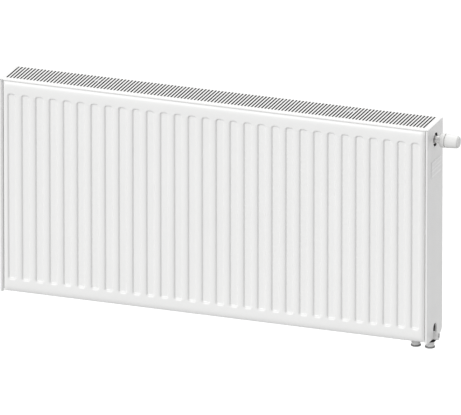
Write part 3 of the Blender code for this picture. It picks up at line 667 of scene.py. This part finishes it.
def make_grille():
    """One folded tray with round-ended slots, punched through and softened at every edge."""
    bm = bmesh.new()
    known = {}

    def vert(x, y, z):
        key = (round(x, 7), round(y, 7), round(z, 7))
        if key not in known:
            known[key] = bm.verts.new((x, y, z))
        return known[key]

    def quad(*corners):
        found = list(dict.fromkeys(vert(*corner) for corner in corners))
        if len(found) > 2:
            bm.faces.new(found)

    top = GRILLE_HIGH.z
    arc_steps = 5
    quarter = [math.pi / 2 * i / arc_steps for i in range(arc_steps + 1)]
    slot = [(SLOT_FRONT_Y + SLOT_HALF * (1 - math.cos(a)), SLOT_HALF * math.sin(a)) for a in quarter]
    slot += [
        (SLOT_REAR_Y - SLOT_HALF * (1 - math.cos(a)), SLOT_HALF * math.sin(a))
        for a in reversed(quarter)
    ]
    borders = [FIRST_SLOT_X + SLOT_PITCH * (i - 0.5) for i in range(SLOTS + 1)]
    # Punched field
    for i in range(SLOTS):
        centre = FIRST_SLOT_X + SLOT_PITCH * i
        for side, border in ((-1, borders[i]), (1, borders[i + 1])):
            for (y0, w0), (y1, w1) in zip(slot, slot[1:]):
                inner0 = (centre + side * w0, y0, top)
                inner1 = (centre + side * w1, y1, top)
                quad((border, y0, top), inner0, inner1, (border, y1, top))
    # Plain ends of the field
    for x0, x1 in ((-SIDE_X, borders[0]), (borders[-1], LIP_END_X), (LIP_END_X, SIDE_X)):
        for (y0, _), (y1, _) in zip(slot, slot[1:]):
            quad((x0, y0, top), (x1, y0, top), (x1, y1, top), (x0, y1, top))
    # Front and rear margins with their bends and lips
    stations = [-SIDE_X, borders[0]]
    for i in range(SLOTS):
        stations += [FIRST_SLOT_X + SLOT_PITCH * i, borders[i + 1]]
    stations += [LIP_END_X, SIDE_X]
    lips = (
        (GRILLE_LOW.y, SLOT_FRONT_Y, 1, top - FRONT_LIP_DEPTH),
        (GRILLE_HIGH.y, SLOT_REAR_Y, -1, GRILLE_LOW.z),
    )
    for edge_y, field_y, way, lip_bottom in lips:
        bend = [
            (edge_y + way * GRILLE_BEND * (1 - math.sin(a)), top - GRILLE_BEND * (1 - math.cos(a)))
            for a in quarter
        ]
        section = [(field_y, top)] + bend + [(edge_y, lip_bottom)]
        for x0, x1 in zip(stations, stations[1:]):
            past_lip = x0 < borders[0] - MM or x1 > LIP_END_X + MM
            for (y0, z0), (y1, z1) in zip(section, section[1:-1] if past_lip else section[1:]):
                quad((x0, y0, z0), (x1, y0, z0), (x1, y1, z1), (x0, y1, z1))
    bmesh.ops.recalc_face_normals(bm, faces=bm.faces[:])
    upward = sum(face.normal.z * face.calc_area() for face in bm.faces) > 0
    mesh = bpy.data.meshes.new("top_grille_fine")
    bm.to_mesh(mesh)
    bm.free()
    piece = link_object("top_grille_fine", mesh)
    solidify = piece.modifiers.new("thickness", "SOLIDIFY")
    solidify.thickness = GRILLE_SHEET
    solidify.offset = -1 if upward else 1
    solidify.use_even_offset = True
    soften(piece, GRILLE_EDGE)
    stands_for(baked(piece), "top_grille", WHITE)
    # Painted shade on the grille's inward faces
    shade_inward_faces(piece, Vector((0, PIPE_Y, GRILLE_LOW.z)), Vector((0, 1, 1)), GRILLE_INWARD)


def notch_block(side, half_width, top, low_x, high_x):
    """The notch as a solid: an upright slot with a round top, run through along X."""
    bm = bmesh.new()
    steps = 32
    outline = [(PIPE_Y + half_width, SIDE_LOW.z - 10 * MM)]
    for i in range(steps + 1):
        angle = math.pi * i / steps
        y = PIPE_Y + half_width * math.cos(angle)
        outline.append((y, top - half_width + half_width * math.sin(angle)))
    outline.append((PIPE_Y - half_width, SIDE_LOW.z - 10 * MM))
    face = bm.faces.new([bm.verts.new((side * low_x, y, z)) for y, z in outline])
    shell = bmesh.ops.extrude_face_region(bm, geom=[face])
    moved = [item for item in shell["geom"] if isinstance(item, bmesh.types.BMVert)]
    bmesh.ops.translate(bm, verts=moved, vec=(side * (high_x - low_x), 0, 0))
    return link_object("notch_cutter", mesh_of("notch_cutter", bm))


def block(low, high, name="block_cutter"):
    bm = bmesh.new()
    low, high = Vector(low), Vector(high)
    size = Matrix.Diagonal((*(high - low), 1.0))
    bmesh.ops.create_cube(bm, size=1.0, matrix=Matrix.Translation((low + high) / 2) @ size)
    return link_object(name, mesh_of(name, bm))


def make_side_panel(node, side):
    """A folded cover with a valve hole, a flanged notch and a cut lower corner."""
    rear_y = GRILLE_HIGH.y
    outline = [
        (SIDE_X - FRONT_LIP - LIP_SLANT, FRONT_Y + RETURN_LIP),
        (SIDE_X - FRONT_LIP, FRONT_Y, FRONT_BEND),
        (SIDE_X, FRONT_Y, SIDE_BEND),
        (SIDE_X, rear_y, SIDE_BEND),
        (SIDE_X - REAR_LIP, rear_y),
    ]
    outline = [(side * point[0], *point[1:]) for point in outline]
    panel = folded(node + "_fine", outline, SIDE_SHEET, SIDE_LOW.z, SIDE_HIGH.z, "Z", -side, edge=0)
    rim_x = SIDE_X - SIDE_SHEET - NOTCH_RIM
    rim = notch_block(side, NOTCH_HALF + SIDE_SHEET, NOTCH_TOP + SIDE_SHEET, rim_x, SIDE_X - 0.3 * MM)
    cut(panel, rim, "UNION")
    ends = sorted((side * (rim_x - CUT_PAST), side * (SIDE_X + CUT_PAST)))
    below = block((ends[0], FRONT_Y, SIDE_LOW.z - 4 * CUT_PAST), (ends[1], rear_y, SIDE_LOW.z))
    cut(panel, below)
    notch = notch_block(side, NOTCH_HALF, NOTCH_TOP, rim_x - CUT_PAST, SIDE_X + CUT_PAST)
    cut(panel, notch)
    reach = 2 * CUT_PAST
    hole_profile = [(0, -reach), (VALVE_HOLE_R, -reach), (VALVE_HOLE_R, reach), (0, reach)]
    hole = turned("hole_cutter", hole_profile, "X", (side * SIDE_X, PIPE_Y, VALVE_Z), 64)
    cut(panel, hole)
    half = Vector((CORNER_CUT, 1.5 * CORNER_CUT, CORNER_CUT / math.sqrt(2)))
    corner = block(-half, half)
    corner.location = (side * (SIDE_X - REAR_LIP / 2), 0, SIDE_LOW.z)
    corner.rotation_euler = (math.pi / 4, 0, 0)
    cut(panel, corner)
    soften(panel, PRESSED_EDGE)
    baked(panel)
    drop(rim, below, notch, hole, corner)
    stands_for(panel, node, WHITE)
    flat = panel.modifiers.new("flat_faces", "WEIGHTED_NORMAL")
    flat.keep_sharp = True
    baked(panel)
    # Painted shade on the cover's inward faces
    least = RIGHT_INWARD if side > 0 else LEFT_INWARD
    shade_inward_faces(panel, Vector((0, PIPE_Y, 0)), Vector((1, 0, 0)), least)


def make_label():
    low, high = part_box("blank_label")
    piece = block(low, high, "blank_label_fine")
    bm = bmesh.new()
    bm.from_mesh(piece.data)
    upright = [e for e in bm.edges if abs(e.verts[0].co.x - e.verts[1].co.x) > 0.1 * MM]
    bmesh.ops.bevel(bm, geom=upright, offset=LABEL_CORNER, segments=5, profile=0.5, affect="EDGES")
    bm.to_mesh(piece.data)
    bm.free()
    stands_for(piece, "blank_label")


# Brackets, clips and lugs


def make_clips():
    for end in ("left", "right"):
        for side, out in (("front", 1), ("rear", -1)):
            node = f"grille_clip_{side}_{end}"
            low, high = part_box(node)
            near, far = (low.y, high.y) if out > 0 else (high.y, low.y)
            outline = [
                (near, low.z),
                (near, high.z, CLIP_BEND),
                (far, high.z, CLIP_BEND),
                (far, high.z - CLIP_TAIL),
            ]
            piece = folded(node + "_fine", outline, CLIP_SHEET, low.x, high.x, "X", out)
            stands_for(baked(piece), node)


def make_lugs():
    """Each hanging strap: bent plate with two spot welds pressed into its flange."""
    for level in ("lower", "upper"):
        for end in ("left", "right"):
            node = f"hanging_lug_{level}_{end}"
            low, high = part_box(node)
            plate_y = high.y - LUG_SHEET
            fold_z = high.z - LUG_FLANGE
            outline = [
                (low.y, high.z),
                (low.y, fold_z, LUG_TOP_BEND),
                (plate_y, fold_z, LUG_LOW_BEND),
                (plate_y, low.z),
            ]
            piece = folded(node + "_fine", outline, LUG_SHEET, low.x, high.x, "X", -1, edge=0)
            welds = []
            for share in WELD_SHARES:
                x = low.x + (high.x - low.x) * share
                profile = [
                    (0, 1.7 * MM),
                    (2.4 * MM, 1.7 * MM, 0.5 * MM),
                    (3.4 * MM, 4 * MM),
                    (0, 4 * MM),
                ]
                weld = turned("weld_cutter", profile, "Y", (x, low.y, fold_z + WELD_DROP), 32)
                cut(piece, weld)
                welds.append(weld)
            soften(piece, LUG_EDGE)
            baked(piece)
            drop(*welds)
            stands_for(piece, node, WHITE)


def make_bracket():
    low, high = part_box("connection_bracket")
    outline = [
        (low.y, high.z),
        (low.y, low.z, BRACKET_BEND),
        (high.y, low.z, BRACKET_BEND),
        (high.y, high.z),
    ]
    piece = folded("connection_bracket_fine", outline, BRACKET_SHEET, low.x, high.x, "X", -1, edge=0)
    pipe_low, pipe_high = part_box("riser_pipe")
    radius = (pipe_high.x - pipe_low.x) / 2 + 0.4 * MM
    profile = [(0, low.z - 10 * MM), (radius, low.z - 10 * MM), (radius, high.z), (0, high.z)]
    hole = turned("hole_cutter", profile, "Z", (SUPPLY_X, PIPE_Y, 0), 64)
    cut(piece, hole)
    soften(piece, PRESSED_EDGE)
    baked(piece)
    drop(hole)
    # The bracket gets the dark painted shade
    stands_for(piece, "connection_bracket", INNER_PAINTED_SHADE)


# Pipework


def make_tubes():
    # The cross tubes, outlet tubes and riser inside get the dark painted shade
    for node in ("return_cross_tube", "left_lower_cross_tube", "left_upper_cross_tube"):
        ring_for(node, "Y", CROSS_BORE, material=INNER_PAINTED_SHADE)
    for node in ("valve_outlet_front", "valve_outlet_rear"):
        ring_for(node, "Y", OUTLET_BORE, material=INNER_PAINTED_SHADE)
    ring_for("riser_pipe", "Z", RISER_BORE, material=INNER_PAINTED_SHADE)
    ring_for("riser_base", "Z", RISER_BORE, fillet=0.8 * MM)
    ring_for("vent_boss", "X", VENT_BOSS_BORE)
    ring_for("blind_boss", "X", BLIND_BOSS_BORE)
    ring_for("vent_plug_seal", "X", VENT_SEAL_BORE)
    ring_for("blind_plug_seal", "X", BLIND_SEAL_BORE)
    ring_for("valve_disc", "X", 0)


def make_sockets():
    """Each downward connection: black washer, threaded socket and flat end ring."""
    for word, x in (("supply", SUPPLY_X), ("return", RETURN_X)):
        ring_for(word + "_washer", "Z", SOCKET_NECK_BORE, fillet=SOFT_EDGE)
        low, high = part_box(word + "_socket")
        outer = (high.x - low.x) / 2
        profile = [
            (SOCKET_NECK_BORE, high.z),
            (outer - 0.6 * MM, high.z, 0.3 * MM),
            (outer, high.z - 0.6 * MM),
        ]
        pitch = (high.z - low.z - 2.2 * MM) / SOCKET_TURNS
        for i in range(SOCKET_TURNS):
            z = high.z - 1.4 * MM - pitch * i
            profile += [(outer, z, 0.2 * MM), (outer - THREAD_DEPTH, z - pitch / 2, 0.2 * MM)]
        profile += [
            (outer, low.z + 0.5 * MM, 0.2 * MM),
            (outer - 0.4 * MM, low.z),
            (SOCKET_BORE, low.z, 0.3 * MM),
            (SOCKET_BORE, high.z - 2 * MM),
            (SOCKET_NECK_BORE, high.z - 2 * MM),
        ]
        piece = turned(word + "_socket_fine", profile, "Z", (x, PIPE_Y, 0))
        stands_for(piece, word + "_socket", WHITE)
        ring_for(word + "_end_seal", "Z", SOCKET_BORE, fillet=SOFT_EDGE)


def make_return_outlet():
    """The side outlet and the neck under it, joined, bored and softened."""
    low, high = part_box("return_outlet")
    outer = high.z - OUTLET_Z
    mouth = [
        (0, low.x),
        (outer - 0.5 * MM, low.x, 0.3 * MM),
        (outer - 0.5 * MM, high.x - 7 * MM, 0.5 * MM),
        (outer, high.x - 6 * MM, 0.4 * MM),
        (outer, high.x, 0.7 * MM),
        (6.0 * MM, high.x, 0.7 * MM),
        (6.0 * MM, high.x - 2 * MM),
        (0, high.x - 2 * MM),
    ]
    piece = turned("return_outlet_fine", mouth, "X", (0, PIPE_Y, OUTLET_Z))
    below = (RETURN_X, PIPE_Y, 0)
    neck_profile = [(0, low.z), (7 * MM, low.z, 0.4 * MM), (7 * MM, OUTLET_Z - MM), (0, OUTLET_Z - MM)]
    neck = turned("neck_cutter", neck_profile, "Z", below, 64)
    cut(piece, neck, "UNION")
    clear_profile = [(0, low.x - 5 * MM), (6 * MM, low.x - 5 * MM), (6 * MM, high.x - MM), (0, high.x - MM)]
    clear = turned("bore_cutter", clear_profile, "X", (0, PIPE_Y, OUTLET_Z), 60)
    cut(piece, clear)
    bore_profile = [(0, low.z - 5 * MM), (5.2 * MM, low.z - 5 * MM), (5.2 * MM, OUTLET_Z), (0, OUTLET_Z)]
    bore = turned("bore_cutter", bore_profile, "Z", below, 52)
    cut(piece, bore)
    baked(piece)
    drop(neck, clear, bore)
    stands_for(piece, "return_outlet")


def make_left_end():
    """Vent plug and blind plug at the far end, each with a rounded head."""
    low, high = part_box("vent_plug")
    head = (high.z - low.z) / 2
    profile = [
        (3.4 * MM, high.x),
        (8.7 * MM, high.x, 0.4 * MM),
        (8.7 * MM, low.x + 6.4 * MM),
        (head, low.x + 6.2 * MM, 0.4 * MM),
        (head, low.x + 1.5 * MM, 0.5 * MM),
        (head - 1.5 * MM, low.x, 0.5 * MM),
        (5.2 * MM, low.x, 0.3 * MM),
        (4.6 * MM, low.x + 1.2 * MM, 0.3 * MM),
        (3.4 * MM, low.x + 1.2 * MM),
    ]
    stands_for(turned("vent_plug_fine", profile, "X", (0, PIPE_Y, VALVE_Z)), "vent_plug")
    low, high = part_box("blind_plug")
    head = (high.z - low.z) / 2
    profile = [
        (0, high.x),
        (7.6 * MM, high.x, 0.4 * MM),
        (7.6 * MM, low.x + 5.3 * MM),
        (head, low.x + 5.1 * MM, 0.4 * MM),
        (head, low.x + 1.4 * MM, 0.4 * MM),
        (head - MM, low.x, 0.4 * MM),
        (4.4 * MM, low.x, 0.2 * MM),
        (4.4 * MM, low.x + 2.5 * MM),
        (0, low.x + 2.5 * MM),
    ]
    stands_for(turned("blind_plug_fine", profile, "X", (0, PIPE_Y, OUTLET_Z)), "blind_plug")


# Valve


def make_valve():
    centre = (0, PIPE_Y, VALVE_Z)
    low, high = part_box("valve_insert")
    collar_low, collar_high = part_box("lock_collar")
    neck = 8.5 * MM
    thread = 12.6 * MM
    pocket = collar_low.x + 3.2 * MM
    pin_bore = 2.6 * MM
    profile = [
        (pin_bore, low.x),
        (8.7 * MM, low.x, 0.3 * MM),
        (8.7 * MM, low.x + 6.3 * MM),
        (11.5 * MM, low.x + 6.3 * MM, 0.4 * MM),
        (11.5 * MM, low.x + 11 * MM, 0.4 * MM),
        (neck, low.x + 11 * MM, 0.3 * MM),
        (neck, collar_low.x - 5.5 * MM, 0.2 * MM),
        (neck + 0.9 * MM, collar_low.x - 5.0 * MM, 0.2 * MM),
        (neck + 0.9 * MM, collar_low.x - 3.2 * MM, 0.2 * MM),
        (neck, collar_low.x - 2.7 * MM, 0.2 * MM),
        (neck, collar_low.x - 0.05 * MM),
        (thread, collar_low.x, 0.3 * MM),
        (thread, high.x, 0.4 * MM),
        (8 * MM, high.x),
        (8 * MM, pocket),
        (pin_bore, pocket),
    ]
    stands_for(turned("valve_insert_fine", profile, "X", centre), "valve_insert")
    outer = (collar_high.z - collar_low.z) / 2
    profile = [
        (thread + 0.3 * MM, collar_low.x, 0.2 * MM),
        (thread + 0.3 * MM, collar_high.x, 0.2 * MM),
        (outer - 0.2 * MM, collar_high.x, 0.6 * MM),
        (outer, collar_high.x - 5 * MM, 1.2 * MM),
        (outer - 0.5 * MM, collar_low.x, 1.0 * MM),
    ]
    stands_for(turned("lock_collar_fine", profile, "X", centre, 96), "lock_collar")
    low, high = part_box("hand_cap")
    base = (high.z - low.z) / 2
    tip = 13.7 * MM
    wall = 2.2 * MM
    boss_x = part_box("valve_pin")[1].x + 0.3 * MM
    profile = [
        (0, high.x),
        (tip - 0.9 * MM, high.x, 0.8 * MM),
        (tip + 0.5 * MM, high.x - 2.2 * MM, 1.6 * MM),
        (base - 0.3 * MM, low.x + 3 * MM, 4 * MM),
        (base, low.x + 0.6 * MM, 0.4 * MM),
        (base - 0.5 * MM, low.x, 0.3 * MM),
        (thread + 0.3 * MM, low.x, 0.2 * MM),
        (thread + 0.3 * MM, low.x + 14 * MM),
        (tip - wall, high.x - wall),
        (4 * MM, high.x - wall),
        (4 * MM, boss_x),
        (0, boss_x),
    ]
    stands_for(turned("hand_cap_fine", profile, "X", centre, 96), "hand_cap")
    low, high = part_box("cap_end_disc")
    disc = (high.z - low.z) / 2
    profile = [
        (0, low.x),
        (disc, low.x, 0.2 * MM),
        (disc - MM, high.x, 0.5 * MM),
        (disc - 4.5 * MM, high.x, 0.6 * MM),
        (disc - 5.2 * MM, high.x - 0.5 * MM, 0.6 * MM),
        (0, high.x - 0.5 * MM),
    ]
    stands_for(turned("cap_end_disc_fine", profile, "X", centre, 96), "cap_end_disc")


def make_valve_spring():
    """A fine coil along X, built here at rest; in the valve it shortens as the pin slides in."""
    low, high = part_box("valve_spring")
    steps = SPRING_TURNS * SPRING_TURN_STEPS
    coil = (high.z - low.z) / 2 - SPRING_WIRE_R
    length = high.x - low.x
    along = Vector((1, 0, 0))
    bm = bmesh.new()
    rings = []
    for i in range(steps + 1):
        angle = 2 * math.pi * i / SPRING_TURN_STEPS
        out = Vector((0, math.cos(angle), math.sin(angle)))
        x = low.x + SPRING_WIRE_R + (length - 2 * SPRING_WIRE_R) * i / steps
        middle = Vector((x, PIPE_Y, VALVE_Z)) + coil * out
        ring = []
        for k in range(SPRING_WIRE_STEPS):
            turn = 2 * math.pi * k / SPRING_WIRE_STEPS
            round_wire = math.cos(turn) * out + math.sin(turn) * along
            ring.append(bm.verts.new(middle + SPRING_WIRE_R * round_wire))
        rings.append(ring)
    for one, two in zip(rings, rings[1:]):
        for k in range(SPRING_WIRE_STEPS):
            after = (k + 1) % SPRING_WIRE_STEPS
            bm.faces.new((one[k], one[after], two[after], two[k]))
    bm.faces.new(rings[0])
    bm.faces.new(rings[-1])
    spring = link_object("valve_spring_fine", mesh_of("valve_spring_fine", bm))
    stands_for(spring, "valve_spring", sharp=50)
    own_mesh(spring)


def finish_cad_nodes():
    """Gives each CAD node that still shows its finish."""
    for name, node in frame["nodes"].items():
        material = SLOT_MATERIALS[NODE_SLOT[name]]
        node.data.materials.clear()
        node.data.materials.append(material)


# Stage


def make_stage():
    bpy.ops.mesh.primitive_plane_add(size=60, location=(0, 0, FLOOR_Z))
    floor = bpy.context.object
    floor.name = "floor"
    floor.data.materials.append(FLOOR)
    floor.visible_diffuse = False  # the dome lights the object's lower side, not the bright floor


def make_sun(name, strength, direction):
    sun = bpy.data.lights.new(name, "SUN")
    sun.energy = strength
    sun.angle = SPREAD
    lamp = bpy.data.objects.new(name, sun)
    bpy.context.scene.collection.objects.link(lamp)
    lamp.rotation_euler = direction.to_track_quat("Z", "Y").to_euler()


def make_light():
    """A white dome, a little brighter overhead, with a soft key from the front left and a soft top light."""
    world = bpy.data.worlds.new("white_studio")
    bpy.context.scene.world = world
    world.use_nodes = True
    tree = world.node_tree
    background = tree.nodes["Background"]
    place = tree.nodes.new("ShaderNodeTexCoord")
    split = tree.nodes.new("ShaderNodeSeparateXYZ")
    height = tree.nodes.new("ShaderNodeMapRange")
    height.inputs["From Min"].default_value = -1
    height.inputs["From Max"].default_value = 1
    height.inputs["To Min"].default_value = SKY_LOW
    height.inputs["To Max"].default_value = SKY_HIGH
    tree.links.new(place.outputs["Generated"], split.inputs["Vector"])
    tree.links.new(split.outputs["Z"], height.inputs["Value"])
    tree.links.new(height.outputs["Result"], background.inputs["Strength"])
    background.inputs["Color"].default_value = (1, 1, 1, 1)
    make_sun("soft_key", KEY, KEY_FROM)
    make_sun("soft_top", TOP, TOP_FROM)


def make_camera():
    back = Vector((
        math.sin(AZIMUTH) * math.cos(ELEVATION),
        -math.cos(AZIMUTH) * math.cos(ELEVATION),
        math.sin(ELEVATION),
    ))
    data = bpy.data.cameras.new("camera")
    data.lens = LENS_MM
    distance = IMAGE_WIDTH * data.lens / data.sensor_width
    data.clip_end = 2 * distance
    camera = bpy.data.objects.new("camera", data)
    bpy.context.scene.collection.objects.link(camera)
    camera.location = TARGET + back * distance
    camera.rotation_euler = back.to_track_quat("Z", "Y").to_euler()
    bpy.context.scene.camera = camera


make_panels()
make_convector("front_convector", 1)
make_convector("rear_convector", -1)
make_grille()
make_side_panel("right_side_panel", 1)
make_side_panel("left_side_panel", -1)
make_label()
make_clips()
make_lugs()
make_bracket()
make_tubes()
make_sockets()
make_return_outlet()
make_left_end()
make_valve()
make_valve_spring()
finish_cad_nodes()
make_stage()
make_light()
make_camera()
bpy.context.scene.view_settings.view_transform = "Standard"
